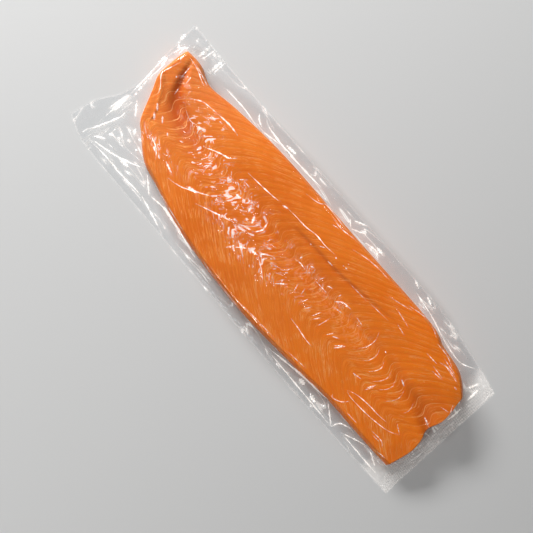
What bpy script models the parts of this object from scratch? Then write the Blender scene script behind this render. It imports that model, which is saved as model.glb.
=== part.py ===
"""Raw salmon fillet, vacuum packed in a clear flat bag and lying on its flat underside.

One closed solid: the fillet's crowned, flaky top with the film drawn over it, and round it
the thin flat margin where the two films of the bag meet. Metres, +Z up. The length runs
along X with the narrow folded end at -X, and the thick back edge of the fillet is at +Y.
The origin is at the middle of the bag's box, on the surface that it lies on.
"""

import math

import bmesh
import bpy
from mathutils import Vector, noise

# Outline of the fillet: distance from the narrow end, and offset from the bag's centre line
FILLET_LENGTH = 0.452
FILLET_START_X = -0.221
NARROW_CORNER_BACK = (0.002, 0.0535)
NARROW_CORNER_BELLY = (0.0125, -0.009)
CUT_CORNER_BACK = (0.4435, 0.047)
CUT_CORNER_BELLY = (0.447, -0.0555)
BACK_EDGE = (
    NARROW_CORNER_BACK, (0.022, 0.055), (0.044, 0.0488), (0.080, 0.055), (0.145, 0.0622),
    (0.250, 0.0653), (0.360, 0.0691), (0.390, 0.0640), (0.420, 0.0600), CUT_CORNER_BACK,
)
BELLY_EDGE = (
    NARROW_CORNER_BELLY, (0.0235, -0.0285), (0.060, -0.0505), (0.083, -0.0555), (0.140, -0.0665),
    (0.226, -0.0705), (0.312, -0.0639), (0.353, -0.0591), (0.400, -0.0578), CUT_CORNER_BELLY,
)
NARROW_END = (NARROW_CORNER_BELLY, (0.0060, 0.004), (0.000, 0.020), (0.000, 0.0500), NARROW_CORNER_BACK)
NOTCH = (0.4437, -0.0015)
CUT_END = (
    CUT_CORNER_BELLY, (0.452, -0.030), (0.4500, -0.015), NOTCH, (0.4488, 0.0165), (0.4440, 0.039),
    CUT_CORNER_BACK,
)

# Outline of the bag, about the origin
BAG_LENGTH = 0.493
BAG_WIDTH = 0.171
BAG_NARROW_BELLY = (-BAG_LENGTH / 2, -0.076)
BAG_NARROW_BACK = (-0.2360, 0.0765)
BAG_CUT_BACK = (0.2385, 0.0735)
BAG_CUT_BELLY = (BAG_LENGTH / 2, -0.0732)
BAG_BACK_EDGE = (
    BAG_NARROW_BACK, (-0.1600, 0.0765), (-0.010, 0.0815), (0.1305, BAG_WIDTH / 2), (0.2005, 0.0800),
    BAG_CUT_BACK,
)
BAG_BELLY_EDGE = (
    BAG_NARROW_BELLY, (-0.2260, -0.0830), (-0.2050, -BAG_WIDTH / 2), (-0.1395, -0.0850),
    (0.0505, -0.0819), (0.1615, -0.0783), BAG_CUT_BELLY,
)
BAG_NARROW_END = (
    BAG_NARROW_BELLY, (-0.2411, -0.0478), (-0.2300, -0.0233), (-0.2270, 0.0040), (-0.2304, 0.0236),
    BAG_NARROW_BACK,
)
BAG_CUT_END = (BAG_CUT_BELLY, (0.2430, -0.0065), BAG_CUT_BACK)

# Thickness of the fillet by the share of its length, and the share of it across, from belly to back
THICKNESS = ((0.0, 0.0165), (0.10, 0.0185), (0.28, 0.0250), (0.55, 0.0285), (0.85, 0.0275), (1.0, 0.0240))
CROWN = ((0.0, 0.56), (0.15, 0.66), (0.36, 0.82), (0.50, 0.89), (0.58, 0.87), (0.80, 1.0), (1.0, 0.93))
EDGE_ROUND_BACK = 0.008
EDGE_ROUND_BELLY = 0.008
EDGE_ROUND_NARROW = 0.007
EDGE_ROUND_CUT = 0.004

# Muscle flakes: their pitch, and how far each seam runs towards the cut end, from belly to back
FLAKE_PITCH = 0.0105
FLAKE_DEPTH = 0.0008
SEAM_LEAD = (
    (0.0, 0.068), (0.09, 0.046), (0.18, 0.022), (0.27, 0.002), (0.31, -0.005), (0.38, -0.012),
    (0.46, 0.000), (0.55, 0.006), (0.64, 0.000), (0.81, 0.025), (1.0, 0.068),
)
SEAM_FADE = 0.150

# The groove between back and belly, which deepens into the notch
GROOVE_SHARE = 0.53
GROOVE_WIDTH = 0.007
GROOVE_DEPTH = 0.0010
GROOVE_DEPTH_AT_NOTCH = 0.0045
GROOVE_END_RUN = 0.060

# The narrower groove along the loin, as length from the narrow end and offset
LOIN_GROOVE = (
    (0.195, 0.0230), (0.2315, 0.0265), (0.2665, 0.0285), (0.2965, 0.0335), (0.3415, 0.0415), (0.372, 0.0450),
)
LOIN_GROOVE_WIDTH = 0.0035
LOIN_GROOVE_DEPTH = 0.0013
LOIN_GROOVE_FADE = 0.035

# The folded narrow end: a channel between two rims, as length from the end and offset
CHANNEL = (
    (0.006, 0.042), (0.0115, 0.0385), (0.0215, 0.0235), (0.0315, 0.0155), (0.0465, 0.0105),
    (0.0815, 0.0015),
)
CHANNEL_WIDTH = 0.0065
CHANNEL_DEPTH = 0.0045
CHANNEL_START = 0.026
CHANNEL_FADE = 0.045
RIM = ((0.0025, 0.0205), (0.0135, 0.0105), (0.0215, 0.0005), (0.0275, -0.0085), (0.0315, -0.0165))
RIM_WIDTH = 0.0035
RIM_HEIGHT = 0.0010

# Relief fades out where the fillet is lower than this
RELIEF_EDGE = 0.010

# Film of the margin: both layers, the tent at the foot of the fillet and the pleats
MARGIN_THICKNESS = 0.0009
TENT_HEIGHT = 0.0030
TENT_RUN = 0.0065
PLEAT_HEIGHT = 0.0075
PLEAT_PITCH = 0.0085
SEAL_WIDTH = 0.013
MARGIN_RINGS = (0.12, 0.32, 0.60, 0.84, 1.0)

# Fineness of the mesh, and the angle past which an edge stays sharp
FLAKES = round(FILLET_LENGTH / FLAKE_PITCH)
COLUMNS_PER_FLAKE = 2
ROWS = 42
EDGE_CROWDING = 0.60
END_CROWDING = 0.010
SHARP_ANGLE = math.radians(50)

FLESH_COLOUR = (0.76, 0.185, 0.022, 1.0)
FLESH_ROUGHNESS = 0.32
FILM_COLOUR = (0.80, 0.81, 0.82, 1.0)
FILM_ROUGHNESS = 0.12
FILM_ALPHA = 0.35


def clear_scene():
    for thing in list(bpy.data.objects):
        bpy.data.objects.remove(thing, do_unlink=True)


def make_material(name, colour, roughness, alpha=1.0):
    material = bpy.data.materials.new(name)
    material.use_nodes = True
    shader = material.node_tree.nodes["Principled BSDF"]
    shader.inputs["Base Color"].default_value = colour
    shader.inputs["Roughness"].default_value = roughness
    shader.inputs["Metallic"].default_value = 0.0
    shader.inputs["Alpha"].default_value = alpha
    material.diffuse_color = colour
    return material


def smooth(t):
    t = min(max(t, 0.0), 1.0)
    return t * t * (3.0 - 2.0 * t)


def hump(distance, width):
    """A bell of height 1 that has fallen to a third at the width."""
    return math.exp(-((distance / width) ** 2))


def follow(table, x):
    """Value at x of a smooth curve through (x, value) pairs, level beyond the first and the last."""
    if x <= table[0][0]:
        return table[0][1]
    if x >= table[-1][0]:
        return table[-1][1]
    right = next(index for index, (at, _) in enumerate(table) if x < at)
    before = table[max(right - 2, 0)]
    start, end = table[right - 1], table[right]
    after = table[min(right + 1, len(table) - 1)]
    span = end[0] - start[0]
    slope_in = (end[1] - before[1]) / (end[0] - before[0]) * span
    slope_out = (after[1] - start[1]) / (after[0] - start[0]) * span
    t = (x - start[0]) / span
    return (
        start[1] * (1 + 2 * t) * (1 - t) ** 2 + slope_in * t * (1 - t) ** 2
        + end[1] * t * t * (3 - 2 * t) - slope_out * t * t * (1 - t)
    )


def polyline(points, steps=24):
    """A smooth curve through the points (Catmull-Rom), as a list of close points."""
    ends = [points[0]] + list(points) + [points[-1]]
    curve = []
    for a, b, c, d in zip(ends, ends[1:], ends[2:], ends[3:]):
        for step in range(steps):
            t = step / steps
            curve.append(tuple(
                0.5 * (2 * b[k] + (c[k] - a[k]) * t + (2 * a[k] - 5 * b[k] + 4 * c[k] - d[k]) * t * t
                       + (3 * b[k] - a[k] - 3 * c[k] + d[k]) * t ** 3)
                for k in (0, 1)
            ))
    curve.append(points[-1])
    return curve


class Edge:
    """One side of an outline, read by its share of length."""

    def __init__(self, points, shift=0.0):
        self.points = [(x + shift, y) for x, y in polyline(points)]
        self.run = [0.0]
        for (x0, y0), (x1, y1) in zip(self.points, self.points[1:]):
            self.run.append(self.run[-1] + math.hypot(x1 - x0, y1 - y0))

    def at(self, share):
        target = min(max(share, 0.0), 1.0) * self.run[-1]
        low = 0
        high = len(self.run) - 1
        while high - low > 1:
            middle = (low + high) // 2
            if self.run[middle] <= target:
                low = middle
            else:
                high = middle
        t = (target - self.run[low]) / max(self.run[high] - self.run[low], 1e-9)
        (x0, y0), (x1, y1) = self.points[low], self.points[high]
        return x0 + (x1 - x0) * t, y0 + (y1 - y0) * t


back = Edge(BACK_EDGE, FILLET_START_X)
belly = Edge(BELLY_EDGE, FILLET_START_X)
narrow = Edge(NARROW_END, FILLET_START_X)
cut = Edge(CUT_END, FILLET_START_X)
bag_back = Edge(BAG_BACK_EDGE)
bag_belly = Edge(BAG_BELLY_EDGE)
bag_narrow = Edge(BAG_NARROW_END)
bag_cut = Edge(BAG_CUT_END)


def patch(u, v):
    """Point of the fillet's plan: u from the narrow to the cut end, v from belly to back."""
    place = []
    for k in (0, 1):
        along = (1 - v) * belly.at(u)[k] + v * back.at(u)[k]
        across = (1 - u) * narrow.at(v)[k] + u * cut.at(v)[k]
        corners = (
            (1 - u) * (1 - v) * belly.at(0)[k] + u * (1 - v) * belly.at(1)[k]
            + (1 - u) * v * back.at(0)[k] + u * v * back.at(1)[k]
        )
        place.append(along + across - corners)
    return place


def crowd(t):
    """Shares 0..1 drawn towards both ends, so that the round edges have the most rows."""
    return t + EDGE_CROWDING * math.sin(2 * math.pi * (t + 0.5)) / (2 * math.pi)


def seam_shift(u, v):
    """How far a seam of muscle has run towards the cut end at v, none of it at the two ends."""
    room = smooth(min(u, 1 - u) * FILLET_LENGTH / SEAM_FADE)
    return follow(SEAM_LEAD, v) * room / FILLET_LENGTH


def rounded(distance, radius):
    """Share of the full height at this distance from an edge, as a quarter round."""
    t = 1.0 - min(max(distance / radius, 0.0), 1.0)
    return math.sqrt(1.0 - t * t)


def fillet_height(u, v, x, y, flake_phase):
    """Height of the film-covered fillet above the film of the margin."""
    width = back.at(u)[1] - belly.at(u)[1]
    from_cut = (1 - u) * FILLET_LENGTH
    height = follow(THICKNESS, u) * follow(CROWN, v)
    height *= rounded((1 - v) * width, EDGE_ROUND_BACK) * rounded(v * width, EDGE_ROUND_BELLY)
    height *= rounded(u * FILLET_LENGTH, EDGE_ROUND_NARROW) * rounded(from_cut, EDGE_ROUND_CUT)
    relief = FLAKE_DEPTH * (0.5 + 0.5 * math.cos(2 * math.pi * flake_phase))
    groove = GROOVE_DEPTH + (GROOVE_DEPTH_AT_NOTCH - GROOVE_DEPTH) * hump(from_cut, GROOVE_END_RUN)
    groove *= hump((v - GROOVE_SHARE) * width, GROOVE_WIDTH)
    from_narrow = x - FILLET_START_X
    start, end = LOIN_GROOVE[0][0], LOIN_GROOVE[-1][0]
    ends = smooth((from_narrow - start) / LOIN_GROOVE_FADE) * smooth((end - from_narrow) / LOIN_GROOVE_FADE)
    groove += LOIN_GROOVE_DEPTH * ends * hump(y - follow(LOIN_GROOVE, from_narrow), LOIN_GROOVE_WIDTH)
    ends = smooth(from_narrow / CHANNEL_START) * smooth((CHANNEL[-1][0] - from_narrow) / CHANNEL_FADE)
    channel = CHANNEL_DEPTH * ends * hump(y - follow(CHANNEL, from_narrow), CHANNEL_WIDTH)
    rim = 0.0
    if from_narrow < RIM[-1][0]:
        rim = RIM_HEIGHT * hump(y - follow(RIM, from_narrow), RIM_WIDTH)
    edge = smooth(height / RELIEF_EDGE)
    return max(height + edge * (rim - relief - groove - channel), 0.0)


def fillet_top(mesh):
    """The crowned top as a grid whose columns follow the seams between the flakes."""
    columns = FLAKES * COLUMNS_PER_FLAKE
    bmesh.ops.create_grid(mesh, x_segments=columns, y_segments=ROWS, size=0.5)
    for vert in mesh.verts:
        column = vert.co.x + 0.5
        v = crowd(vert.co.y + 0.5)
        u = crowd_ends(column)
        u = min(max(u + seam_shift(u, v), 0.0), 1.0)
        x, y = patch(u, v)
        height = fillet_height(u, v, x, y, column * FLAKES)
        vert.co = (x, y, MARGIN_THICKNESS + height)


def crowd_ends(t):
    """Shares of the length, with the first and last columns closer together for the round ends."""
    return t - END_CROWDING * math.sin(2 * math.pi * t)


def side_share(x, y):
    """Which side of the fillet's plan a point of its border is on, and its share along that side."""
    best = None
    for edge, outer in ((back, bag_back), (belly, bag_belly), (narrow, bag_narrow), (cut, bag_cut)):
        for index, (px, py) in enumerate(edge.points):
            gap = (px - x) ** 2 + (py - y) ** 2
            if best is None or gap < best[0]:
                best = (gap, outer, edge.run[index] / edge.run[-1])
    return best[1], best[2]


def make_margin(mesh, film_slot):
    """Rings of film from the foot of the fillet out to the bag's edge, and the edge down to the floor."""
    border = [edge for edge in mesh.edges if edge.is_boundary]
    feet = {}
    for vert in {vert for edge in border for vert in edge.verts}:
        outer, share = side_share(vert.co.x, vert.co.y)
        target = Vector((*outer.at(share), 0.0))
        pleat = PLEAT_HEIGHT * max(noise.noise(target / PLEAT_PITCH), 0.0)
        feet[vert] = (vert.co.copy(), target, pleat)
    for share in MARGIN_RINGS:
        made = bmesh.ops.extrude_edge_only(mesh, edges=border)["geom"]
        border = [item for item in made if isinstance(item, bmesh.types.BMEdge) and item.is_boundary]
        for face in [item for item in made if isinstance(item, bmesh.types.BMFace)]:
            face.material_index = film_slot
        moved = {}
        for vert in [item for item in made if isinstance(item, bmesh.types.BMVert)]:
            inner = min(
                (edge.other_vert(vert) for edge in vert.link_edges if edge.other_vert(vert) in feet),
                key=lambda other: (other.co - vert.co).length,
            )
            foot, target, pleat = feet[inner]
            reach = (target - foot).to_2d().length
            tent = TENT_HEIGHT * math.exp(-share * reach / TENT_RUN)
            fold = pleat * smooth((1 - share) * reach / SEAL_WIDTH)
            vert.co = foot.lerp(target, share)
            vert.co.z = MARGIN_THICKNESS + tent + fold
            moved[vert] = feet[inner]
        feet = moved
    made = bmesh.ops.extrude_edge_only(mesh, edges=border)["geom"]
    for vert in [item for item in made if isinstance(item, bmesh.types.BMVert)]:
        vert.co.z = 0.0
    rim = [item for item in made if isinstance(item, bmesh.types.BMEdge) and item.is_boundary]
    bmesh.ops.contextual_create(mesh, geom=rim)
    for face in mesh.faces:
        if all(abs(vert.co.z) <= MARGIN_THICKNESS for vert in face.verts):
            face.material_index = film_slot


def make_fillet(flesh, film):
    mesh = bmesh.new()
    fillet_top(mesh)
    make_margin(mesh, film_slot=1)
    bmesh.ops.recalc_face_normals(mesh, faces=mesh.faces)
    data = bpy.data.meshes.new("packed_fillet")
    mesh.to_mesh(data)
    mesh.free()
    data.materials.append(flesh)
    data.materials.append(film)
    data.shade_smooth()
    data.set_sharp_from_angle(angle=SHARP_ANGLE)
    thing = bpy.data.objects.new("packed_fillet", data)
    bpy.context.scene.collection.objects.link(thing)
    return thing


clear_scene()
make_fillet(
    make_material("salmon_flesh", FLESH_COLOUR, FLESH_ROUGHNESS),
    make_material("clear_film", FILM_COLOUR, FILM_ROUGHNESS, FILM_ALPHA),
)
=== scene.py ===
import math

import bpy
import numpy as np
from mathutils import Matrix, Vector
from mathutils.bvhtree import BVHTree
from mathutils.geometry import delaunay_2d_cdt


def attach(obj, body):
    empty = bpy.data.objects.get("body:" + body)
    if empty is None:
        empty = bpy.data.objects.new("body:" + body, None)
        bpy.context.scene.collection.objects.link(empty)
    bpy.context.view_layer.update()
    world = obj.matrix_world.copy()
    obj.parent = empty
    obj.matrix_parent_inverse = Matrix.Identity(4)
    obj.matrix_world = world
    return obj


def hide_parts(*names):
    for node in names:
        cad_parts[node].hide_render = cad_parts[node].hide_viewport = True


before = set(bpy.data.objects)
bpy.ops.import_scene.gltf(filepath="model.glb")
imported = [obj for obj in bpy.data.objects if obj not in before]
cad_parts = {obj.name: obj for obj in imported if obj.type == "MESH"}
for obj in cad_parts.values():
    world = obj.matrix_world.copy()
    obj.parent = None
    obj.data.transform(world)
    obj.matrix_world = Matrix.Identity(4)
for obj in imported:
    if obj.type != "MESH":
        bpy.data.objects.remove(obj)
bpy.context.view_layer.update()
mm = 0.001


# Small helpers for shapes

def smoothStep(t):
    t = np.clip(t, 0.0, 1.0)
    return t * t * (3.0 - 2.0 * t)


def bell(distance, width):
    return np.exp(-((distance / width) ** 2))


def smoothLine(points, steps=24):
    # Catmull-Rom through given points
    p = np.array([points[0], *points, points[-1]], float)
    t = (np.arange(steps) / steps)[:, None]
    parts = []
    for a, b, c, d in zip(p, p[1:], p[2:], p[3:]):
        bent = (2 * a - 5 * b + 4 * c - d) * t ** 2 + (3 * b - a - 3 * c + d) * t ** 3
        parts.append(0.5 * (2 * b + (c - a) * t + bent))
    return np.vstack([*parts, p[-1:]])


def readCurve(points, x):
    # value at x of the smooth curve through (x, value) pairs
    line = smoothLine(points)
    return np.interp(x, line[:, 0], line[:, 1])


def alongLine(line, share):
    run = np.concatenate([[0.0], np.cumsum(np.linalg.norm(np.diff(line, axis=0), axis=1))])
    run /= run[-1]
    return np.stack([np.interp(share, run, line[:, k]) for k in (0, 1)], axis=-1)


def patchOf(sides, u, v):
    # a four-sided patch in plan: u runs from the narrow end to the cut end, v from belly to back
    belly, back, narrow, cut = (smoothLine(side) for side in sides)
    u1, v1 = u[..., None], v[..., None]
    along = (1 - v1) * alongLine(belly, u) + v1 * alongLine(back, u)
    across = (1 - u1) * alongLine(narrow, v) + u1 * alongLine(cut, v)
    corners = (1 - u1) * ((1 - v1) * belly[0] + v1 * back[0]) + u1 * ((1 - v1) * belly[-1] + v1 * back[-1])
    return along + across - corners


def distanceTo(path, x, y):
    # distance from each place to a path, and the share of the path's length where it is nearest
    best = np.full(x.shape, 1e9)
    where = np.zeros(x.shape)
    lengths = np.linalg.norm(np.diff(path, axis=0), axis=1)
    run = np.concatenate([[0.0], np.cumsum(lengths)]) / lengths.sum()
    for k, (a, b) in enumerate(zip(path, path[1:])):
        step = b - a
        t = np.clip(((x - a[0]) * step[0] + (y - a[1]) * step[1]) / max(step @ step, 1e-12), 0, 1)
        gap = np.hypot(x - a[0] - t * step[0], y - a[1] - t * step[1])
        nearer = gap < best
        best = np.where(nearer, gap, best)
        where = np.where(nearer, run[k] + t * (run[k + 1] - run[k]), where)
    return best, where


# Small helpers for meshes

def deselectAll():
    bpy.ops.object.select_all(action="DESELECT")


def makeActive(thing):
    deselectAll()
    thing.select_set(True)
    bpy.context.view_layer.objects.active = thing


def addGrid(name, columns, rows):
    # a primitive grid, with the index of its points by column and row
    deselectAll()
    bpy.ops.mesh.primitive_grid_add(x_subdivisions=columns, y_subdivisions=rows, size=1, location=(0, 0, 0))
    thing = bpy.context.object
    thing.name = name
    thing.data.name = name
    places = pointsOf(thing)
    column = np.rint((places[:, 0] + 0.5) * columns).astype(int)
    row = np.rint((places[:, 1] + 0.5) * rows).astype(int)
    order = np.empty((columns + 1, rows + 1), int)
    order[column, row] = np.arange(len(places))
    return thing, order


def pointsOf(thing):
    places = np.empty(len(thing.data.vertices) * 3, np.float32)
    thing.data.vertices.foreach_get("co", places)
    return places.reshape(-1, 3).astype(float)


def setPoints(thing, places):
    thing.data.vertices.foreach_set("co", np.asarray(places, np.float32).ravel())
    thing.data.update()


def writeField(thing, name, order, values):
    # a number for each point of a grid, which the material reads back by its name
    flat = np.zeros(len(thing.data.vertices), np.float32)
    flat[order.ravel()] = np.asarray(values).ravel()
    field = thing.data.attributes.new(name, "FLOAT", "POINT")
    field.data.foreach_set("value", flat)


def closeBelow(thing):
    # the border is extruded down to the surface that the pack lies on, and closed flat
    makeActive(thing)
    bpy.ops.object.mode_set(mode="EDIT")
    bpy.ops.mesh.select_mode(type="EDGE")
    bpy.ops.mesh.select_all(action="DESELECT")
    bpy.ops.mesh.select_non_manifold()
    bpy.ops.mesh.extrude_region_move(TRANSFORM_OT_translate={"value": (0, 0, -0.5)})
    bpy.ops.mesh.edge_face_add()
    bpy.ops.mesh.select_all(action="SELECT")
    bpy.ops.mesh.normals_make_consistent(inside=False)
    bpy.ops.object.mode_set(mode="OBJECT")
    places = pointsOf(thing)
    below = places[:, 2] < -0.1
    places[below, 2] = 0.0
    setPoints(thing, places)
    bpy.ops.object.shade_smooth_by_angle(angle=math.radians(60))
    return below


def clearFields(thing, names, where):
    # the numbers of these fields are set back to nothing at the chosen points
    for name in names:
        field = thing.data.attributes[name]
        values = np.empty(len(thing.data.vertices), np.float32)
        field.data.foreach_get("value", values)
        values[where] = 0.0
        field.data.foreach_set("value", values)


def heightsUnder(thing, x, y):
    # heights of a finished piece, read by looking straight down on it, and zero beside it
    tree = BVHTree.FromObject(thing, bpy.context.evaluated_depsgraph_get())
    found = np.zeros(x.size)
    for k, (px, py) in enumerate(zip(x.ravel(), y.ravel())):
        hit = tree.ray_cast(Vector((px, py, 1.0)), Vector((0, 0, -1)))[0]
        if hit is not None:
            found[k] = hit.z
    return found.reshape(x.shape)


# Small helpers for materials

class Wire:
    # one output socket, so that shader maths reads as a formula
    def __init__(self, bench, socket):
        self.bench = bench
        self.socket = socket

    def maths(self, operation, first, second=0.0):
        return self.bench.node("ShaderNodeMath", {"operation": operation}, {0: first, 1: second})

    def __add__(self, other):
        return self.maths("ADD", self, other)

    def __sub__(self, other):
        return self.maths("SUBTRACT", self, other)

    def __mul__(self, other):
        return self.maths("MULTIPLY", self, other)

    def __rsub__(self, other):
        return self.maths("SUBTRACT", other, self)

    def __abs__(self):
        return self.maths("ABSOLUTE", self)

    __radd__ = __add__
    __rmul__ = __mul__


class Bench:
    # a material's node tree with its Principled shader
    def __init__(self, name, **shader):
        self.material = bpy.data.materials.new(name)
        self.material.use_nodes = True
        self.tree = self.material.node_tree
        self.shader = self.tree.nodes["Principled BSDF"]
        for socket, value in shader.items():
            self.shader.inputs[socket.replace("_", " ")].default_value = value

    def node(self, kind, settings=None, inputs=None, output=0):
        made = self.tree.nodes.new(kind)
        for key, value in (settings or {}).items():
            setattr(made, key, value)
        for key, value in (inputs or {}).items():
            self.connect(made.inputs[key], value)
        return Wire(self, made.outputs[output])

    def connect(self, socket, value):
        if isinstance(value, Wire):
            self.tree.links.new(value.socket, socket)
        else:
            socket.default_value = value

    def feed(self, socket, value):
        self.connect(self.shader.inputs[socket], value)

    def place(self):
        return self.node("ShaderNodeTexCoord", output="Object")

    def field(self, name):
        return self.node("ShaderNodeAttribute", {"attribute_name": name}, output="Fac")

    def vector(self, x, y, z=0.0):
        return self.node("ShaderNodeCombineXYZ", inputs={"X": x, "Y": y, "Z": z})

    def noise(self, vector, scale, detail=2.0, roughness=0.5, distortion=0.0):
        return self.node("ShaderNodeTexNoise", inputs={
            "Vector": vector, "Scale": scale, "Detail": detail,
            "Roughness": roughness, "Distortion": distortion,
        })

    def ease(self, value, low, high, start=0.0, end=1.0):
        # value from low to high, as a smooth step from start to end
        return self.node("ShaderNodeMapRange", {"interpolation_type": "SMOOTHSTEP"}, {
            "Value": value, "From Min": low, "From Max": high, "To Min": start, "To Max": end,
        })

    def squiggles(self, noise, thin):
        # thin curved lines where a noise passes its middle value
        return self.ease(abs(noise - 0.5), 0.0, thin, 1.0, 0.0)

    def blend(self, factor, first, second):
        return self.node("ShaderNodeMix", {"data_type": "RGBA"}, {
            "Factor": factor, 6: (*first, 1) if isinstance(first, tuple) else first,
            7: (*second, 1) if isinstance(second, tuple) else second,
        }, output=2)

    def bump(self, height, strength, distance, normal=None):
        inputs = {"Height": height, "Strength": strength, "Distance": distance}
        if normal is not None:
            inputs["Normal"] = normal
        return self.node("ShaderNodeBump", inputs=inputs)


# The camera looks straight down, turned so that the pack lies along the picture's diagonal
print("camera")
view = {"turn": 50.6, "lens": 85.0, "sensor": 36.0, "frameWidth": 0.533, "aim": (-0.00425, -0.02175)}


def setCamera():
    camera = bpy.data.cameras.new("camera")
    camera.lens = view["lens"]
    camera.sensor_width = view["sensor"]
    eye = bpy.data.objects.new("camera", camera)
    bpy.context.scene.collection.objects.link(eye)
    height = view["frameWidth"] * view["lens"] / view["sensor"]
    eye.location = (*view["aim"], height)
    eye.rotation_euler = (0, 0, math.radians(view["turn"]))
    bpy.context.scene.camera = eye


setCamera()


# The fillet: outlines in metres from its narrow end and from the bag's centre line
print("fillet")
fillet = {
    "length": 0.452,
    "startX": -0.221,
    "columns": 440,
    "rows": 150,
    # how much closer the rows stand near the long edges, and the columns near both ends
    "crowding": 0.62,
    "endCrowding": 0.008,
    "back": ((0.002, 0.0535), (0.022, 0.055), (0.044, 0.0488), (0.080, 0.055), (0.145, 0.0622),
             (0.250, 0.0653), (0.360, 0.0691), (0.390, 0.0640), (0.420, 0.0600), (0.4405, 0.047)),
    "belly": ((0.0150, -0.0075), (0.0240, -0.0262), (0.0350, -0.0345), (0.0590, -0.0500), (0.085, -0.0558),
              (0.140, -0.0665), (0.226, -0.0705), (0.312, -0.0639), (0.353, -0.0591), (0.400, -0.0578),
              (0.446, -0.0555)),
    "narrow": ((0.0150, -0.0075), (0.0075, 0.005), (0.000, 0.020), (0.000, 0.0500), (0.002, 0.0535)),
    "cut": ((0.446, -0.0555), (0.4495, -0.030), (0.4475, -0.015), (0.4430, -0.0015), (0.4455, 0.0165),
            (0.4410, 0.039), (0.4405, 0.047)),
    # height by the share of the length, and the share of it by the share of the width from the belly
    "thickness": ((0.0, 0.0165), (0.10, 0.0185), (0.28, 0.0250), (0.55, 0.0285), (0.85, 0.0275),
                  (1.0, 0.0240)),
    "crown": ((0.0, 0.56), (0.15, 0.66), (0.36, 0.82), (0.50, 0.89), (0.58, 0.87), (0.80, 1.0),
              (1.0, 0.93)),
    "roundBack": 0.0055,
    "roundBelly": 0.0050,
    "roundNarrow": 0.0055,
    "roundCut": 0.0020,
    "underside": 0.0004,
    # the relief fades out towards the edge, where the flesh is lower than this
    "reliefEdge": 0.010,
    "seamPitch": 0.0105,
    # how far a seam has run towards the cut end, by its distance from the centre line
    "seamLead": ((-0.0715, 0.073), (-0.0585, 0.046), (-0.0465, 0.022), (-0.0335, 0.002), (-0.0285, -0.006),
                 (-0.0195, -0.012), (-0.0085, 0.000), (0.0035, 0.006), (0.0155, 0.002), (0.0385, 0.025),
                 (0.0615, 0.065), (0.0700, 0.081)),
    "seamDepth": 0.00007,
    "seamShare": 0.09,
    "flakeCrown": 0.00008,
    "grooveShare": 0.53,
    "grooveWidth": 0.007,
    "grooveDepth": 0.0010,
    "grooveDepthAtNotch": 0.0042,
    "grooveEndRun": 0.060,
    # the loin's edge overhangs the groove along the back, so that its back side is the steep one
    "backGroove": {
        "path": ((0.195, 0.0230), (0.2315, 0.0265), (0.2665, 0.0285), (0.2965, 0.0335),
                 (0.3415, 0.0415), (0.372, 0.0450)),
        "depth": 0.0010,
        "backSide": 0.0011,
        "bellySide": 0.00396,
        "start": (0.195, 0.030),
        "end": (0.372, 0.100),
    },
    # the channel where the narrow end is folded over
    "channel": {
        "path": ((0.012, 0.050), (0.0195, 0.0355), (0.0265, 0.0240), (0.0335, 0.0165),
                 (0.0465, 0.0105), (0.0815, 0.0015)),
        "depth": 0.0045,
        "backSide": 0.0055,
        "bellySide": 0.0110,
        "start": (0.009, 0.016),
        "end": (0.0815, 0.045),
    },
    "rim": ((0.0025, 0.0205), (0.0135, 0.0105), (0.0215, 0.0005), (0.0275, -0.0085), (0.0315, -0.0165)),
    "rimWidth": 0.0035,
    "rimHeight": 0.0009,
    "rimEnd": 0.0315,
    # how dark the painted shade in the hollows is: the channel's fall-off, then the strength of both
    # grooves
    "channelFallOff": 0.7,
    "grooveShade": 0.6,
    "backGrooveShade": 0.45,
    # darker places near both ends: strength, distance along, place across, spreads
    "deepSpots": ((0.35, 0.428, 0.024, 0.022, 0.015), (0.30, 0.440, -0.038, 0.010, 0.012),
                  (0.45, 0.066, 0.003, 0.022, 0.012)),
    # the band beside the middle groove where the seams show most: its middle and its spread
    "centreBand": (0.003, 0.011),
}


def crowded(t):
    return t + fillet["crowding"] * np.sin(2 * np.pi * (t + 0.5)) / (2 * np.pi)


def rounded(distance, radius):
    t = 1.0 - np.clip(distance / radius, 0.0, 1.0)
    return np.sqrt(1.0 - t * t)


def seamPhase(s, y):
    # which flake a place is in: whole numbers are seams
    return (s - readCurve(fillet["seamLead"], y)) / fillet["seamPitch"]


def trough(s, y, values):
    # a groove along a path in plan, with a side of its own to the back and to the belly
    across = y - readCurve(values["path"], s)
    side = np.where(across > 0, values["backSide"], values["bellySide"])
    (start, rise), (end, fade) = values["start"], values["end"]
    ends = smoothStep((end - s) / fade) * smoothStep((s - start) / rise)
    return values["depth"] * ends * bell(across, side)


def middleGroove(u, v, width):
    # it deepens to the notch in the cut end
    deep = fillet["grooveDepth"]
    nearNotch = bell((1 - u) * fillet["length"], fillet["grooveEndRun"])
    depth = deep + (fillet["grooveDepthAtNotch"] - deep) * nearNotch
    return depth * bell((v - fillet["grooveShare"]) * width, fillet["grooveWidth"])


def flakeRelief(s, y):
    # how deep the seams lie below the crowns of the flakes
    phase = seamPhase(s, y)
    inSeam = np.abs(phase - np.round(phase))
    crown = fillet["flakeCrown"] * 0.5 * np.cos(2 * np.pi * inSeam)
    return fillet["seamDepth"] * bell(inSeam, fillet["seamShare"]) + crown


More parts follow.
